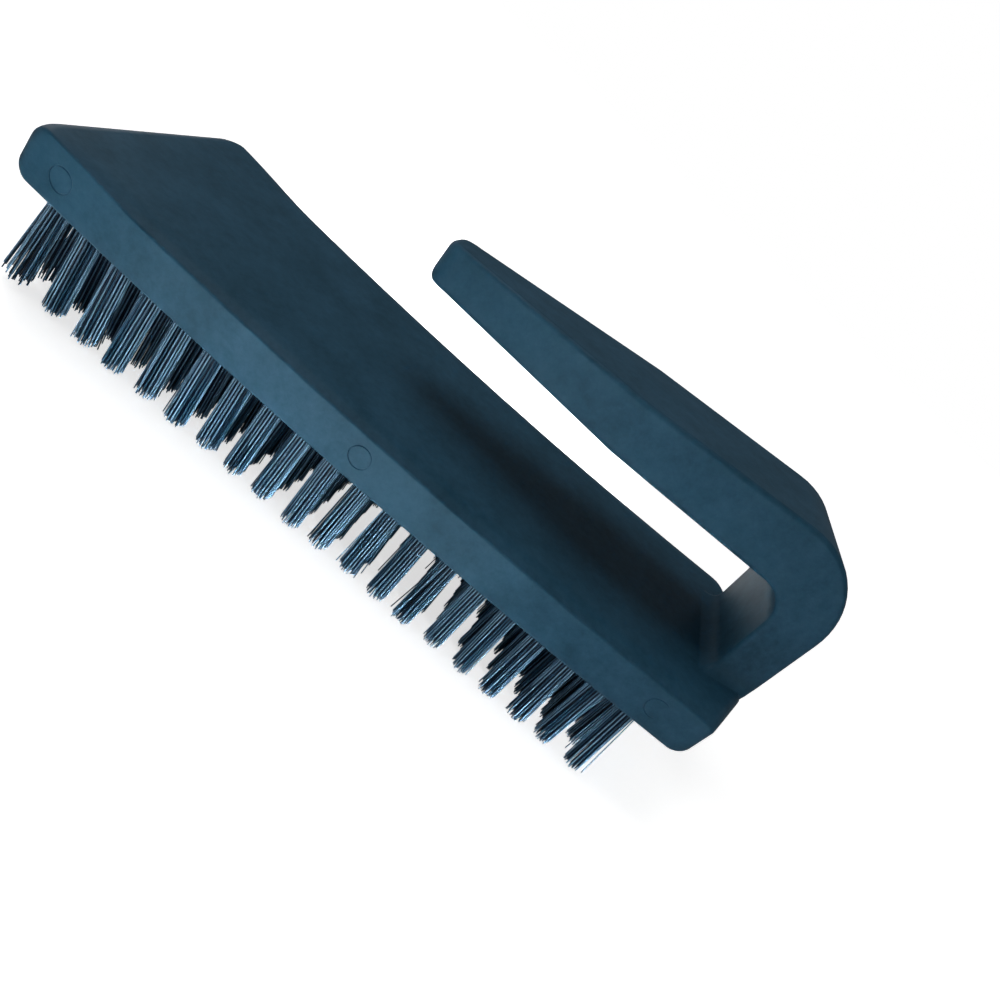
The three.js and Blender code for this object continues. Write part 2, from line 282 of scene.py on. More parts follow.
mesh = bmesh.from_edit_mesh(body.data)
weight = mesh.edges.layers.float.new("bevel_weight_edge")
rounded = 0
for edge in mesh.edges:
    on_side = [face for face in edge.link_faces if abs(face.normal.y) > SIDE_FACING]
    others = [face for face in edge.link_faces if abs(face.normal.y) < OTHER_FACING]
    if len(on_side) == 1 and len(others) == 1:
        edge[weight] = edge_share(others[0].normal)
        rounded += 1
bmesh.update_edit_mesh(body.data)
apply_modifier(
    body, 'BEVEL', width=FRONT_EDGE_RADIUS, segments=4, limit_method='WEIGHT', use_clamp_overlap=False)
print("rounded", rounded, "side edges,", len(body.data.polygons), "faces")

# %% [markdown]
# The handle is one strap: a bar with a narrow nose, a bend at the heel and a post down to the block. A
# designer would draw its inner and outer lines in the side view and sweep a rounded section between
# them, and that is what is done here. First come the two lines.

# %% Lines of the handle in the side view
NOSE_X = REAR_X - 110.7 * MM
NOSE_LOW_Z = TOP_Z + 21.2 * MM
NOSE_TOP_Z = NOSE_LOW_Z + 9.5 * MM
HEEL_X = REAR_X - 1.4 * MM
HEEL_LOW_Z = NOSE_LOW_Z + 4.4 * MM
HEEL_TOP_Z = NOSE_TOP_Z + 10.88 * MM
HEEL_DEPTH = 10.4 * MM
FOOT_DEPTH = 10.3 * MM
FOOT_Z = TOP_Z + bow(REAR_X)
INNER_BEND_RADIUS = 7 * MM
OUTER_BEND_RADIUS = 18 * MM
BEND_STEPS = 16


def corner_arc(start, corner, end, radius, steps):
    """Points of the round corner between two straight lines."""
    back = (start - corner).normalized()
    onward = (end - corner).normalized()
    half_angle = back.angle(onward) / 2
    centre = corner + (back + onward).normalized() * (radius / math.sin(half_angle))
    first = corner + back * (radius / math.tan(half_angle)) - centre
    last = corner + onward * (radius / math.tan(half_angle)) - centre
    sweep = math.atan2(first.x * last.y - first.y * last.x, first.dot(last))
    angles = [sweep * i / steps for i in range(steps + 1)]
    return [centre + Matrix.Rotation(angle, 2) @ first for angle in angles]


nose_low = Vector((NOSE_X, NOSE_LOW_Z))
nose_top = Vector((NOSE_X, NOSE_TOP_Z))
inner_foot = Vector((REAR_X - FOOT_DEPTH, FOOT_Z))
outer_foot = Vector((REAR_X, FOOT_Z))
inner_heel = Vector((HEEL_X - HEEL_DEPTH, HEEL_LOW_Z))
outer_heel = Vector((HEEL_X, HEEL_TOP_Z))
inner_bend = corner_arc(nose_low, inner_heel, inner_foot, INNER_BEND_RADIUS, BEND_STEPS)
outer_bend = corner_arc(nose_top, outer_heel, outer_foot, OUTER_BEND_RADIUS, BEND_STEPS)
print("bar underside", round((inner_bend[0].x - NOSE_X) / MM, 1), "mm long up to its bend")

# %% [markdown]
# Now the stations of the sweep. Each one has an inner point, an outer point and a half width at each of
# the two. The nose is rounded in plan and in the side view, and the bar widens to the heel.

# %% Stations of the bar
NOSE_HALF = 5 * MM
HEEL_HALF = 14.75 * MM
TAPER_LENGTH = 52 * MM
TAPER_SHARES = [0.4, 0.7, 1]
STRAP_EDGE = 2 * MM
STRAP_CORNER = 1.2 * MM
NOSE_FLAT = 0.05 * MM
NOSE_STEPS = 9
QUARTER_TURN = math.radians(90)

Station = namedtuple("Station", "inner outer inner_half outer_half")


def reach(radius, height):
    """How far a quarter round stands off its wall at a height above its floor."""
    return radius - math.sqrt(radius ** 2 - (radius - min(height, radius)) ** 2)


def bar_station(along, half):
    share = along / (inner_bend[0].x - NOSE_X)
    inner = nose_low.lerp(inner_bend[0], share)
    outer = nose_top.lerp(outer_bend[0], share)
    tuck = Vector((0, reach(STRAP_EDGE, along)))
    return Station(inner + tuck, outer - tuck, half, half)


stations = []
nose_start = math.asin((STRAP_CORNER + NOSE_FLAT) / NOSE_HALF)
for i in range(NOSE_STEPS):
    angle = nose_start + (QUARTER_TURN - nose_start) * i / (NOSE_STEPS - 1)
    stations.append(bar_station(NOSE_HALF * (1 - math.cos(angle)), NOSE_HALF * math.sin(angle)))
for taper_share in TAPER_SHARES:
    along = taper_share * TAPER_LENGTH
    share = (along - NOSE_HALF) / (TAPER_LENGTH - NOSE_HALF)
    stations.append(bar_station(along, NOSE_HALF + (HEEL_HALF - NOSE_HALF) * share))
print(len(stations), "stations along the bar")

# %% [markdown]
# The bend keeps the full width. The foot of the post spreads in fillets so that it flows into the block.
# The side fillets run out towards the rear edge, because the block is rounded there. The last station
# lies inside the block.

# %% Stations of the bend and the foot
POST_HALF = 14.5 * MM
FOOT_RADIUS = 3.8 * MM
FOOT_TUCK = 0.08 * MM
FOOT_SINK = 3.5 * MM
FOOT_INSET = 0.3 * MM
FOOT_STEPS = 8

for inner, outer in zip(inner_bend, outer_bend):
    stations.append(Station(inner, outer, HEEL_HALF, HEEL_HALF))
for i in range(FOOT_STEPS, -1, -1):
    height = FOOT_RADIUS * (1 - math.cos(QUARTER_TURN * i / FOOT_STEPS))
    spread = reach(FOOT_RADIUS, height)
    inner_x = inner_foot.x - spread
    inner = Vector((inner_x, TOP_Z + bow(inner_x) + height - FOOT_TUCK))
    outer = outer_foot + Vector((0, height - FOOT_TUCK))
    stations.append(Station(inner, outer, POST_HALF + spread, POST_HALF))
sunk = Vector((-FOOT_INSET, -FOOT_SINK))
stations.append(Station(inner_foot + sunk, outer_foot + sunk, POST_HALF, POST_HALF))
print(len(stations), "stations from nose to foot")

# %% [markdown]
# The sweep starts from a flat plate with rounded corners, drawn at the nose as the first station says.

# %% Plate at the nose
first = stations[0]
middle_z = (first.inner.y + first.outer.y) / 2
clear_selection()
bpy.ops.mesh.primitive_plane_add(size=1, location=(first.inner.x, 0, middle_z))
strap = bpy.context.object
strap.name = "handle_strap"
strap.rotation_euler = (0, -QUARTER_TURN, 0)
strap.scale = ((first.outer - first.inner).length, 2 * first.inner_half, 1)
bpy.ops.object.transform_apply(location=True, rotation=True, scale=True)
bpy.ops.object.mode_set(mode='EDIT')
bpy.ops.mesh.select_all(action='SELECT')
bpy.ops.mesh.bevel(offset=STRAP_CORNER, segments=5, profile=0.5, affect='VERTICES')
print("plate of", len(bmesh.from_edit_mesh(strap.data).verts), "vertices at the nose")

# %% [markdown]
# The plate is then extruded from station to station. At each one it is moved, turned and made wider or
# deeper. Only the four quarters of the ring move apart, so the corner roundings keep their radius all
# the way.

# %% Sweep of the handle
LEAST_TURN = 1e-6


def shift_part(mesh, ring, test, amount):
    """Moves the part of a ring that passes the test and then selects the whole ring again."""
    part = [v for v in ring if test(v)]
    bpy.ops.mesh.select_all(action='DESELECT')
    for v in part:
        v.select_set(True)
    bpy.ops.transform.translate(value=amount)
    for v in ring:
        v.select_set(True)
    mesh.select_flush_mode()


bpy.ops.mesh.select_mode(type='VERT')
bpy.ops.mesh.select_all(action='SELECT')
for before, after in zip(stations, stations[1:]):
    old_across = before.outer - before.inner
    new_across = after.outer - after.inner
    step = after.inner - before.inner
    bpy.ops.mesh.extrude_region_move(TRANSFORM_OT_translate={"value": (step.x, 0, step.y)})
    mesh = bmesh.from_edit_mesh(strap.data)
    ring = [v for v in mesh.verts if v.select]
    middle = after.inner + old_across / 2
    direction = old_across.normalized()
    is_outer = lambda v: (Vector((v.co.x, v.co.z)) - middle).dot(direction) > 0
    inner_change = after.inner_half - before.inner_half
    outer_change = after.outer_half - before.outer_half
    for side in (-1, 1):
        is_here = lambda v: v.co.y * side > 0
        shift_part(mesh, ring, lambda v: is_here(v) and not is_outer(v), (0, side * inner_change, 0))
        shift_part(mesh, ring, lambda v: is_here(v) and is_outer(v), (0, side * outer_change, 0))
    deepen = direction * (new_across.length - old_across.length)
    shift_part(mesh, ring, is_outer, (deepen.x, 0, deepen.y))
    turn = math.atan2(new_across.y, new_across.x) - math.atan2(old_across.y, old_across.x)
    if abs(turn) > LEAST_TURN:
        pivot = (after.inner.x, 0, after.inner.y)
        bpy.ops.transform.rotate(value=turn, orient_axis='Y', center_override=pivot)
lowest = min(v.co.z for v in ring)
print("strap ends", round((FOOT_Z - lowest) / MM, 2), "mm below the top of the block")

# %% [markdown]
# The extrusion ran backwards, so the faces are turned to point outwards before the strap is joined to
# the block. After the join they are one moulding.

# %% Join the strap to the block
def close_and_face_outward(distance):
    """Merges doubled vertices in edit mode and turns the faces of the closed mesh outwards."""
    bpy.ops.mesh.select_all(action='SELECT')
    bpy.ops.mesh.remove_doubles(threshold=distance)
    bpy.ops.mesh.normals_make_consistent(inside=False)
    if bmesh.from_edit_mesh(bpy.context.object.data).calc_volume(signed=True) < 0:
        bpy.ops.mesh.flip_normals()


def cut_or_join(thing, other, operation):
    """Joins another solid to a thing, or cuts it out, and removes the other solid."""
    apply_modifier(thing, 'BOOLEAN', object=other, operation=operation, solver='MANIFOLD')
    bpy.data.objects.remove(other, do_unlink=True)


close_and_face_outward(EXACT)
cut_or_join(body, strap, 'UNION')
print("moulding of", len(body.data.polygons), "faces")

# %% [markdown]
# The tufts stand in blind holes in the underside. The grid of tufts is laid out once and used twice:
# for the holes now, and for the bristle later. Each place has its column, its root and its lean, which
# is square to the bowed underside.

# %% Grid of tufts
COLUMNS = 20
ROWS = 9
COLUMN_PITCH = 8 * MM
ROW_PITCH = 6.25 * MM
FIRST_COLUMN_X = FRONT_X + 8.4 * MM

grid = []
for column in range(COLUMNS):
    x = FIRST_COLUMN_X + column * COLUMN_PITCH
    lean = math.atan(2 * BOW_RISE * x / REAR_X ** 2)
    for row in range(ROWS):
        y = (row - (ROWS - 1) / 2) * ROW_PITCH
        grid.append((column, Vector((x, y, UNDERSIDE_Z + bow(x))), lean))
print("grid of", len(grid), "tufts")

# %% [markdown]
# A hole is cut with a plug of its shape. One plug is modelled, with a countersunk mouth that stands out
# a little below the block so that the cut is clean.

# %% Plug for one hole
HOLE_RADIUS = 2.25 * MM
HOLE_DEPTH = 4 * MM
MOUTH_WIDENING = 0.35 * MM
MOUTH_OVERHANG = 0.5 * MM
DOWNWARD = -0.9

clear_selection()
bpy.ops.mesh.primitive_cylinder_add(
    vertices=20, radius=HOLE_RADIUS, depth=HOLE_DEPTH, location=(0, 0, HOLE_DEPTH / 2))
plug = bpy.context.object
bpy.ops.object.transform_apply(location=True, rotation=True, scale=True)
bpy.ops.object.mode_set(mode='EDIT')
bisect_all((0, 0, MOUTH_WIDENING), (0, 0, 1))
pick('FACE', lambda face: face.normal.z < DOWNWARD)
mouth_scale = 1 + MOUTH_WIDENING / HOLE_RADIUS
bpy.ops.transform.resize(value=(mouth_scale, mouth_scale, 1))
bpy.ops.mesh.extrude_region_move(TRANSFORM_OT_translate={"value": (0, 0, -MOUTH_OVERHANG)})
clear_selection()
print("plug of", len(plug.data.polygons), "faces")

# %% [markdown]
# The plug is copied to every place in the grid, and each copy is tilted square to the underside. The
# copies are joined, because one cut with all of them is quicker than many cuts.

# %% Holes for the tufts
def copy_of(thing, matrix):
    """A copy with its own mesh, moved to its place."""
    copy = thing.copy()
    copy.data = thing.data.copy()
    copy.matrix_world = matrix
    bpy.context.collection.objects.link(copy)
    return copy


def join_all(things, name):
    """Joins things into one object that sits at the origin."""
    whole = bpy.data.objects.new(name, bpy.data.meshes.new(name))
    bpy.context.collection.objects.link(whole)
    work_on(whole)
    for thing in things:
        thing.select_set(True)
    bpy.ops.object.join()
    return whole


plugs = []
for column, root, lean in grid:
    plugs.append(copy_of(plug, Matrix.Translation(root) @ Matrix.Rotation(-lean, 4, 'Y')))
bpy.data.objects.remove(plug, do_unlink=True)
cut_or_join(body, join_all(plugs, "hole_plugs"), 'DIFFERENCE')
print("cut", len(grid), "holes,", len(body.data.polygons), "faces")

# %% [markdown]
# The near side face carries three flush ejector marks: where a pin of the mould pushed the part out, a
# fine ring is left in the surface. A thin torus half sunk into the face cuts each ring. It is tilted a
# little, so the ring is deeper on one side, and the rearmost one is sunk less.

# %% Ejector marks in the side face
MARKS = [(-79.7 * MM, 0), (-4.8 * MM, 0), (72 * MM, 0.08 * MM)]
MARK_RADIUS = 2.5 * MM
MARK_GROOVE = 0.2 * MM
MARK_HEIGHT = 6.1 * MM
MARK_TILT = math.radians(-3)

for x, lift in MARKS:
    clear_selection()
    bpy.ops.mesh.primitive_torus_add(
        location=(x, -HALF_WIDTH - lift, UNDERSIDE_Z + MARK_HEIGHT + bow(x)),
        rotation=(QUARTER_TURN, 0, MARK_TILT),
        major_radius=MARK_RADIUS, minor_radius=MARK_GROOVE, major_segments=48, minor_segments=8)
    cut_or_join(body, bpy.context.object, 'DIFFERENCE')
print("cut", len(MARKS), "ejector marks,", len(body.data.polygons), "faces")

# %% [markdown]
# The finished moulding is cleaned: doubled vertices are merged and the faces all point outwards. Smooth
# shading by angle keeps the crisp edges crisp, and the weighted normals let the large flat faces win
# over the small ones of the roundings, so that the flats shade flat.

# %% Clean and shade the moulding
MERGE_DISTANCE = 1e-6
CRISP_ANGLE = math.radians(40)

work_on(body)
bpy.ops.object.mode_set(mode='EDIT')
close_and_face_outward(MERGE_DISTANCE)
bpy.ops.object.mode_set(mode='OBJECT')
bpy.ops.object.shade_smooth_by_angle(angle=CRISP_ANGLE)
apply_modifier(body, 'WEIGHTED_NORMAL', keep_sharp=True, weight=80)
print("body has", len(body.data.vertices), "vertices")

# %% [markdown]
# The bristle is straight drawn filament, a few tenths of a millimetre thick. One filament is modelled as
# a slim six-sided rod that hangs from its root, cut into three lengths so that it can curve a little.
# A few curves are enough, because each rod is turned at random when it is placed. No two filaments of a
# tuft are quite alike in tone, so each rod also carries a tone as an attribute, which its finish reads;
# the dark tones are painted shade for the inner rings of a tuft, and the pale ones painted light for its
# outer ring.

# %% Filaments
FILAMENT_RADIUS = 0.14 * MM
FILAMENT_LENGTH = 25 * MM
FILAMENT_CUTS = [0.4, 0.72]
FILAMENT_CRISP_ANGLE = math.radians(80)
FILAMENT_BENDS = [0, 0.05 * MM, 0.1 * MM, 0.2 * MM]
# Inner tones are painted shade inside a tuft; outer tones are painted light on its outer ring, spread a
# little at random.
INNER_PAINTED_SHADE_TONES = [0.03, 0.08, 0.16]
OUTER_PAINTED_LIGHT_TONES = [0.5, 0.65, 0.78, 0.88, 0.96]


def make_filament(bend, tone):
    clear_selection()
    middle = (0, 0, -FILAMENT_LENGTH / 2)
    bpy.ops.mesh.primitive_cylinder_add(
        vertices=6, radius=FILAMENT_RADIUS, depth=FILAMENT_LENGTH, location=middle)
    filament = bpy.context.object
    bpy.ops.object.transform_apply(location=True, rotation=True, scale=True)
    bpy.ops.object.mode_set(mode='EDIT')
    for share in FILAMENT_CUTS:
        bisect_all((0, 0, -share * FILAMENT_LENGTH), (0, 0, 1))
    for share in FILAMENT_CUTS + [1]:
        pick('VERT', lambda v: abs(v.co.z + share * FILAMENT_LENGTH) < NEAR)
        bpy.ops.transform.translate(value=(bend * share ** 2, 0, 0))
    bpy.ops.object.mode_set(mode='OBJECT')
    bpy.ops.object.shade_smooth_by_angle(angle=FILAMENT_CRISP_ANGLE)
    # The attribute holds the rod's tone: dark tones are painted shade, pale tones painted light.
    values = filament.data.attributes.new("filament_tone_painted_light_and_shade", 'FLOAT', 'POINT').data
    values.foreach_set("value", [tone] * len(values))
    return filament


inner_painted_shade_filaments = [make_filament(bend, tone) for bend in FILAMENT_BENDS for tone in INNER_PAINTED_SHADE_TONES]
outer_painted_light_filaments = [make_filament(bend, tone) for bend in FILAMENT_BENDS for tone in OUTER_PAINTED_LIGHT_TONES]
filaments = inner_painted_shade_filaments + outer_painted_light_filaments
print("modelled", len(filaments), "filaments of", len(filaments[0].data.polygons), "faces")

# %% [markdown]
# A tuft is several dozen filaments in a hole. They are packed in rings, and each filament leans outwards
# a little, some more than others, so the tuft opens towards its end. Now and then one strays across the
# others. The ends are cut level but not quite even. The filaments of the outer ring take pale tones as
# painted light, and those of the inner rings take dark tones as painted shade inside the tuft. Several
# tufts are made, neat ones and splayed ones, so that the rows do not look stamped. All random numbers
# come from one seeded source, so each run gives the same brush.

# %% Tufts
RINGS = [(18, 2.0 * MM), (21, 1.66 * MM), (16, 1.3 * MM), (10, 0.85 * MM), (5, 0.35 * MM)]
ROOT_DEPTH = 3 * MM
BRISTLE_LENGTH = 22 * MM
STRAY_CHANCE = 0.02
STRAY_LEAN = 0.9 * MM
ANGLE_UNREST = 0.02
RING_STAGGER = 0.5
WANDER_LIMIT = 2
NEAT_TUFTS = 7
NEAT = {"opening": 1.12, "unrest": 0.09 * MM, "unevenness": 0.28 * MM}
SPLAYED_TUFTS = 4
SPLAYED = {"opening": 1.4, "unrest": 0.55 * MM, "unevenness": 0.7 * MM}
SEED = 20

draw = random.Random(SEED)


def make_tuft(name, opening, unrest, unevenness):
    """A tuft that hangs from the origin, its ends about one bristle length below it."""
    parts = []
    for ring, (count, radius) in enumerate(RINGS):
        for i in range(count):
            turn = i + RING_STAGGER * (ring % 2)
            angle = math.tau * turn / count + draw.gauss(0, ANGLE_UNREST)
            out = Vector((math.cos(angle), math.sin(angle), 0))
            root = out * radius + Vector((0, 0, ROOT_DEPTH))
            sway = STRAY_LEAN if draw.random() < STRAY_CHANCE else unrest
            wander_x = draw.triangular(-WANDER_LIMIT, WANDER_LIMIT)
            wander_y = draw.triangular(-WANDER_LIMIT, WANDER_LIMIT)
            wander = Vector((wander_x, wander_y, 0)) * sway
            aim = out * (radius * (opening - 1)) + wander + Vector((0, 0, -BRISTLE_LENGTH))
            shortfall = abs(draw.gauss(0, unevenness))
            length = (BRISTLE_LENGTH + ROOT_DEPTH - shortfall) / FILAMENT_LENGTH
            tilt = Vector((0, 0, -1)).rotation_difference(aim).to_matrix().to_4x4()
            spin = Matrix.Rotation(draw.uniform(0, math.tau), 4, 'Z')
            stretch = Matrix.Diagonal((1, 1, length, 1))
            # Rods of the inner rings carry dark tones as painted shade, those of the outer ring pale
            # tones as painted light.
            rod = draw.choice(inner_painted_shade_filaments if ring else outer_painted_light_filaments)
            parts.append(copy_of(rod, Matrix.Translation(root) @ tilt @ spin @ stretch))
    return join_all(parts, name)


neat_tufts = [make_tuft(f"neat_tuft_{i}", **NEAT) for i in range(NEAT_TUFTS)]
splayed_tufts = [make_tuft(f"splayed_tuft_{i}", **SPLAYED) for i in range(SPLAYED_TUFTS)]
spare_tufts = neat_tufts + splayed_tufts
print("made", len(spare_tufts), "tufts of", len(neat_tufts[0].data.polygons), "faces")

# %% [markdown]
# The tufts are copied into the grid. Each copy is turned at random and leans a little, square to the
# bowed block on the whole. The tufts of the first column are the ones that wear first: they are splayed
# and bent away to the front. The middle of the block is lower, so its tufts are trimmed shorter, and all
# of them stand on one plane. The four lengths of the brush become four pieces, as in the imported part.

# %% Bristle pieces
BRISTLE_NODES = ["front_tufts", "mid_front_tufts", "mid_rear_tufts", "rear_tufts"]
FRONT_SPLAY = math.radians(6)
SECOND_SPLAY = math.radians(2.5)
TUFT_UNREST = math.radians(0.9)
TIP_CLEARANCE = 0.2 * MM

placed = {node: [] for node in BRISTLE_NODES}
for column, root, lean in grid:
    splay = {0: FRONT_SPLAY, 1: SECOND_SPLAY}.get(column, 0)
    kind = draw.choice(splayed_tufts if column == 0 else neat_tufts)
    tilt = Matrix.Rotation(draw.gauss(0, TUFT_UNREST) + splay - lean, 4, 'Y')
    roll = Matrix.Rotation(draw.gauss(0, TUFT_UNREST), 4, 'X')
    spin = Matrix.Rotation(draw.uniform(0, math.tau), 4, 'Z')
    node = BRISTLE_NODES[column * len(BRISTLE_NODES) // COLUMNS]
    trim = min(1, (root.z - TIP_CLEARANCE) / BRISTLE_LENGTH)
    trimmed = Matrix.Diagonal((1, 1, trim, 1))
    placed[node].append(copy_of(kind, Matrix.Translation(root) @ tilt @ roll @ spin @ trimmed))
bristles = {node: join_all(tufts, node.replace("tufts", "bristle")) for node, tufts in placed.items()}
for spare in filaments + spare_tufts:
    bpy.data.objects.remove(spare, do_unlink=True)
print("bristle pieces", {piece.name: len(piece.data.polygons) for piece in bristles.values()})

# %% [markdown]
# Finishes are node trees. A small helper adds a node, sets its values and links its inputs, so that
# each finish below reads as a list of what the surface does.

# %% Helper for node trees
def add_node(tree, kind, settings=None, **inputs):
    """Adds a node. An input is a plain value, or the output socket of another node."""
    node = tree.nodes.new(kind)
    for name, value in (settings or {}).items():
        setattr(node, name, value)
    for name, value in inputs.items():
        socket = node.inputs[name.replace('_', ' ')]
        if isinstance(value, bpy.types.NodeSocket):
            tree.links.new(value, socket)
        else:
            socket.default_value = value
    return node


def new_finish(name):
    """A material with an empty tree, its output, and the object's own coordinates."""
    material = bpy.data.materials.new(name)
    material.use_nodes = True
    tree = material.node_tree
    tree.nodes.clear()
    output = add_node(tree, 'ShaderNodeOutputMaterial')
    place = add_node(tree, 'ShaderNodeTexCoord').outputs['Object']
    return material, tree, output, place


def two_tone(tree, amount, low, high, first, second):
    """A ramp from one colour to another between two amounts."""
    ramp = add_node(tree, 'ShaderNodeValToRGB', Fac=amount)
    ramp.color_ramp.elements[0].position = low
    ramp.color_ramp.elements[0].color = (*first, 1)
    ramp.color_ramp.elements[1].position = high
    ramp.color_ramp.elements[1].color = (*second, 1)
    return ramp.outputs['Color']


# %% [markdown]
# The moulding is a blue-black conductive plastic with a satin surface. It has several kinds of detail: a
# slow drift of tone with finer flecks where the carbon filling is uneven, smudges that change the gloss,
# and the fine grain that a spark-eroded mould leaves. A few faint scuffs lie along the block.

# %% Satin plastic
PLASTIC_DARK = (0.011, 0.05, 0.084)
PLASTIC_LIGHT = (0.022, 0.077, 0.129)
PLASTIC_SPECULAR = 0.12
FLECK_SHARE = 0.6
SCUFF_TURN = 0.35
SCUFF_SCALE = (170, 1500, 300)
SCUFF_ROUGHENING = (0.06, 0.06, 0.06)
NO_ROUGHENING = (0, 0, 0)
GRAIN_STRENGTH = 0.14
GRAIN_HEIGHT = 0.06 * MM

satin_plastic, tree, output, place = new_finish("satin_plastic")
drift = add_node(tree, 'ShaderNodeTexNoise', Vector=place, Scale=60.0, Detail=9.0, Roughness=0.72)
fleck = add_node(tree, 'ShaderNodeTexNoise', Vector=place, Scale=520.0, Detail=5.0, Roughness=0.75)
mottle = add_node(tree, 'ShaderNodeMath', {'operation': 'MULTIPLY_ADD'})
tree.links.new(fleck.outputs['Fac'], mottle.inputs[0])
mottle.inputs[1].default_value = FLECK_SHARE
tree.links.new(drift.outputs['Fac'], mottle.inputs[2])
tone = two_tone(
    tree, mottle.outputs['Value'], low=0.62, high=0.98, first=PLASTIC_DARK, second=PLASTIC_LIGHT)
smudge = add_node(
    tree, 'ShaderNodeTexNoise', Vector=place, Scale=38.0, Detail=6.0, Roughness=0.65, Distortion=0.8)
gloss = add_node(tree, 'ShaderNodeMapRange', Value=smudge.outputs['Fac'], To_Min=0.42, To_Max=0.58)
along = add_node(
    tree, 'ShaderNodeMapping', Vector=place, Rotation=(0, 0, SCUFF_TURN), Scale=SCUFF_SCALE)
scuff = add_node(tree, 'ShaderNodeTexNoise', Vector=along.outputs['Vector'], Scale=1.0, Detail=2.0)
scuff_mask = two_tone(
    tree, scuff.outputs['Fac'], low=0.66, high=0.76, first=NO_ROUGHENING, second=SCUFF_ROUGHENING)
rough = add_node(tree, 'ShaderNodeMath', {'operation': 'ADD'})
tree.links.new(gloss.outputs['Result'], rough.inputs[0])
tree.links.new(scuff_mask, rough.inputs[1])
grain = add_node(tree, 'ShaderNodeTexNoise', Vector=place, Scale=2400.0, Detail=3.0, Roughness=0.6)
relief = add_node(
    tree, 'ShaderNodeBump', Height=grain.outputs['Fac'], Strength=GRAIN_STRENGTH, Distance=GRAIN_HEIGHT)
plastic_shader = add_node(
    tree, 'ShaderNodeBsdfPrincipled', Base_Color=tone, Roughness=rough.outputs['Value'],
    Normal=relief.outputs['Normal'])
plastic_shader.inputs['Specular IOR Level'].default_value = PLASTIC_SPECULAR
tree.links.new(plastic_shader.outputs['BSDF'], output.inputs['Surface'])
body.data.materials.clear()
body.data.materials.append(satin_plastic)
print("finish", satin_plastic.name, "has", len(tree.nodes), "nodes")

# %% [markdown]
# The filaments are drawn from the same kind of filled plastic, and they shine along their length. The
# tone that each filament carries runs from nearly black to a pale steel blue, with the dark end as
# painted shade inside the tufts and the pale end as painted light on their outer rings; a fine noise
# breaks it up along the filament, and the cut ends are a little paler.

# %% Drawn filament
FILAMENT_DARK = (0.001, 0.008, 0.02)
FILAMENT_MIDDLE = (0.014, 0.055, 0.1)
FILAMENT_LIGHT = (0.17, 0.315, 0.465)
MIDDLE_LEVEL = 0.5
END_PALE = (0.12, 0.21, 0.31)
END_SHARE = 0.4
END_LOW = 0.3 * MM
END_HIGH = 2.5 * MM
FILAMENT_SPECULAR = 0.18
STREAK_SCALE = (2600, 2600, 120)
TONE_WAVER = 0.12

drawn_filament, tree, output, place = new_finish("drawn_filament")
# The attribute brings each filament's tone, with its painted light and painted shade.
tone_with_painted_light_and_shade = add_node(tree, 'ShaderNodeAttribute', {'attribute_name': "filament_tone_painted_light_and_shade"}).outputs['Fac']
stretched = add_node(tree, 'ShaderNodeMapping', Vector=place, Scale=STREAK_SCALE)
streak = add_node(tree, 'ShaderNodeTexNoise', Vector=stretched.outputs['Vector'], Scale=1.0, Detail=2.0)
waver = add_node(
    tree, 'ShaderNodeMapRange', Value=streak.outputs['Fac'], To_Min=-TONE_WAVER, To_Max=TONE_WAVER)
level = add_node(tree, 'ShaderNodeMath', {'operation': 'ADD'})
tree.links.new(tone_with_painted_light_and_shade, level.inputs[0])
tree.links.new(waver.outputs['Result'], level.inputs[1])
ramp = add_node(tree, 'ShaderNodeValToRGB', Fac=level.outputs['Value'])
ramp.color_ramp.elements[0].color = (*FILAMENT_DARK, 1)
ramp.color_ramp.elements[1].color = (*FILAMENT_LIGHT, 1)
ramp.color_ramp.elements.new(MIDDLE_LEVEL).color = (*FILAMENT_MIDDLE, 1)
height = add_node(tree, 'ShaderNodeSeparateXYZ', Vector=place)
end = add_node(
    tree, 'ShaderNodeMapRange', Value=height.outputs['Z'],
    From_Min=END_LOW, From_Max=END_HIGH, To_Min=END_SHARE, To_Max=0.0)
paled = add_node(tree, 'ShaderNodeMix', {'data_type': 'RGBA'}, Factor=end.outputs['Result'])
tree.links.new(ramp.outputs['Color'], paled.inputs['A'])
paled.inputs['B'].default_value = (*END_PALE, 1)
gloss = add_node(tree, 'ShaderNodeMapRange', Value=streak.outputs['Fac'], To_Min=0.22, To_Max=0.4)
filament_shader = add_node(tree, 'ShaderNodeBsdfPrincipled', Roughness=gloss.outputs['Result'])
filament_shader.inputs['Specular IOR Level'].default_value = FILAMENT_SPECULAR
tree.links.new(paled.outputs['Result'], filament_shader.inputs['Base Color'])
tree.links.new(filament_shader.outputs['BSDF'], output.inputs['Surface'])
for piece in bristles.values():
    piece.data.materials.clear()
    piece.data.materials.append(drawn_filament)
print("finish", drawn_filament.name, "has", len(tree.nodes), "nodes")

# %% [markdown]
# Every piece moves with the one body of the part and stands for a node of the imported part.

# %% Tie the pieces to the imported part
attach(body, "root")
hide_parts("body")
for node, piece in bristles.items():
    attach(piece, "root")
    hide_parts(node)
print("pieces", [body.name] + [piece.name for piece in bristles.values()])

# %% [markdown]
# The camera was worked out from the picture: the lines of the block and the grid of tufts fix where it
# stood, how it was turned and how wide it saw. The brush is tilted in the picture, so the camera is
# rolled and the brush stays upright in its own frame.

# %% Camera
CAMERA_PLACE = Vector((12.29, -147.79, 103.67)) * MM
CAMERA_RIGHT = Vector((0.745168, 0.273199, 0.608348))
CAMERA_DOWN = Vector((0.663993, -0.388704, -0.638766))
FOCAL_SHARE = 0.716193
SENSOR_WIDTH = 36

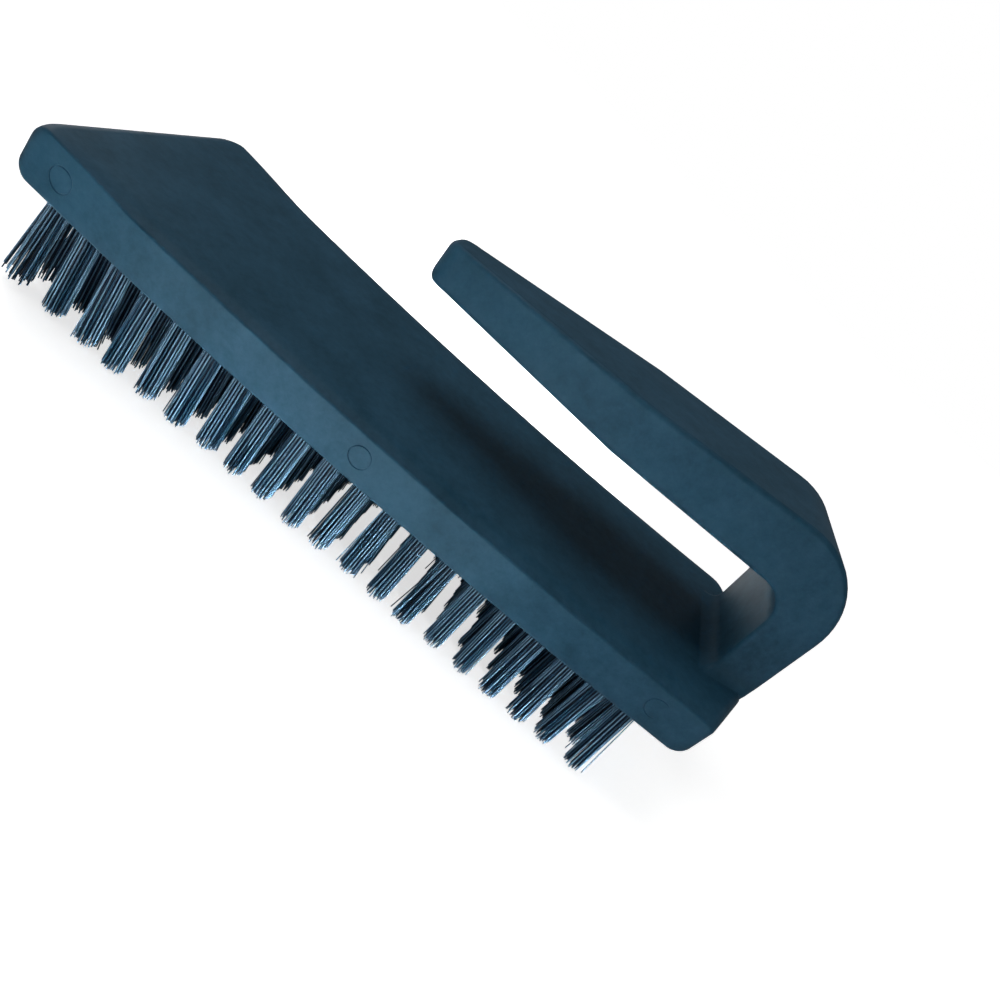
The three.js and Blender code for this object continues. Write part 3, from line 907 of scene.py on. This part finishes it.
camera = bpy.data.objects.new("camera", bpy.data.cameras.new("camera"))
bpy.context.collection.objects.link(camera)
camera.data.sensor_fit = 'HORIZONTAL'
camera.data.sensor_width = SENSOR_WIDTH
camera.data.lens = FOCAL_SHARE * SENSOR_WIDTH
camera.data.clip_start = 0.01
look = CAMERA_RIGHT.cross(CAMERA_DOWN)
turned = Matrix((CAMERA_RIGHT, -CAMERA_DOWN, -look)).transposed()
camera.matrix_world = Matrix.Translation(CAMERA_PLACE) @ turned.to_4x4()
bpy.context.scene.camera = camera
print("lens", round(camera.data.lens, 2), "mm")

# %% [markdown]
# The stage is a plain pale floor under the tips of the bristle. To the camera it glows nearly white, but
# that glow lights nothing, so the dark colour of the brush holds. The glow is weaker close to the brush,
# so that its shadow stays on the floor.

# %% Floor
FLOOR_REACH = 4
FLOOR_TONE = (0.9, 0.9, 0.9, 1)
WHITE = (1, 1, 1, 1)
CLOSE_GLOW = 0.68
CLOSE_REACH = 0.12
DISTANT_GLOW = 0.95
DISTANT_REACH = 0.6

clear_selection()
bpy.ops.mesh.primitive_plane_add(size=2 * FLOOR_REACH, location=(0, 0, 0))
floor = bpy.context.object
floor.name = "floor"
pale_floor, tree, output, place = new_finish("pale_floor")
matte = add_node(tree, 'ShaderNodeBsdfPrincipled', Base_Color=FLOOR_TONE, Roughness=0.9)
seen = add_node(tree, 'ShaderNodeLightPath').outputs['Is Camera Ray']
away = add_node(tree, 'ShaderNodeVectorMath', {'operation': 'LENGTH'})
tree.links.new(place, away.inputs[0])
glow = add_node(
    tree, 'ShaderNodeMapRange', Value=away.outputs['Value'],
    From_Min=CLOSE_REACH, From_Max=DISTANT_REACH, To_Min=CLOSE_GLOW, To_Max=DISTANT_GLOW)
seen_glow = add_node(tree, 'ShaderNodeMapRange', Value=seen)
tree.links.new(glow.outputs['Result'], seen_glow.inputs['To Max'])
matte.inputs['Emission Color'].default_value = WHITE
tree.links.new(seen_glow.outputs['Result'], matte.inputs['Emission Strength'])
tree.links.new(matte.outputs['BSDF'], output.inputs['Surface'])
floor.data.materials.append(pale_floor)
print("floor", floor.name, "reaches", FLOOR_REACH, "m")

# %% [markdown]
# The surroundings work in the same way: white to the camera, and a weak even light on the brush.

# %% Surroundings
STUDIO_LEVEL = 0.16

world = bpy.data.worlds.new("studio")
world.use_nodes = True
bpy.context.scene.world = world
sky = world.node_tree.nodes['Background']
seen = add_node(world.node_tree, 'ShaderNodeLightPath').outputs['Is Camera Ray']
level = add_node(world.node_tree, 'ShaderNodeMapRange', Value=seen, To_Min=STUDIO_LEVEL, To_Max=1.0)
world.node_tree.links.new(level.outputs['Result'], sky.inputs['Strength'])
sky.inputs['Color'].default_value = WHITE
print("world", world.name, "lights the brush at", STUDIO_LEVEL)

# %% [markdown]
# The light is soft. Most of it comes from below: two gridded soft boxes shine straight down on the pale
# floor, before the brush and beyond it, and the floor throws their light back on the side faces and the
# bristle. A weak soft box fills in from the near side, a narrow one low at the rear skims the bristle,
# one from above lights the top, and one beyond the front end keeps that end readable.

# %% Soft boxes
def add_soft_box(name, place, target, size, power, spread=180):
    """A rectangular lamp that looks at a target. Its spread is in degrees."""
    lamp = bpy.data.objects.new(name, bpy.data.lights.new(name, 'AREA'))
    lamp.data.shape = 'RECTANGLE'
    lamp.data.size = size[0]
    lamp.data.size_y = size[1]
    lamp.data.energy = power
    lamp.data.spread = math.radians(spread)
    lamp.location = place
    lamp.rotation_euler = (Vector(target) - Vector(place)).to_track_quat('-Z', 'Y').to_euler()
    bpy.context.collection.objects.link(lamp)
    return lamp


BRUSH_MIDDLE = (0, 0, 0.03)
REAR_TIPS = (0.045, -0.025, -0.001)
NEAR_FLOOR = (-0.028, -0.14, 0)
FAR_FLOOR = (-0.02, 0.15, 0)
GRID_SPREAD = 5
SLIT_SPREAD = 8
lamps = [
    add_soft_box("floor_wash", (-0.028, -0.14, 0.3), NEAR_FLOOR, (0.13, 0.18), 0.265, GRID_SPREAD),
    add_soft_box("far_floor_wash", (-0.02, 0.15, 0.3), FAR_FLOOR, (0.17, 0.18), 0.22, GRID_SPREAD),
    add_soft_box("near_soft_box", (0.08, -0.38, 0.04), BRUSH_MIDDLE, (0.3, 0.06), 0.2),
    add_soft_box("rear_soft_box", (0.33, -0.2, 0.012), REAR_TIPS, (0.12, 0.008), 0.034, SLIT_SPREAD),
    add_soft_box("upper_soft_box", (-0.22, 0, 0.6), BRUSH_MIDDLE, (0.35, 0.3), 1.4),
    add_soft_box("front_soft_box", (-0.71, 0.51, 0.22), BRUSH_MIDDLE, (0.4, 0.3), 0.7),
]
print("lamps", [lamp.name for lamp in lamps])

# %% [markdown]
# The last lines set the plain view transform and clear the selection.

# %% Finish
bpy.context.scene.view_settings.view_transform = 'Standard'
clear_selection()
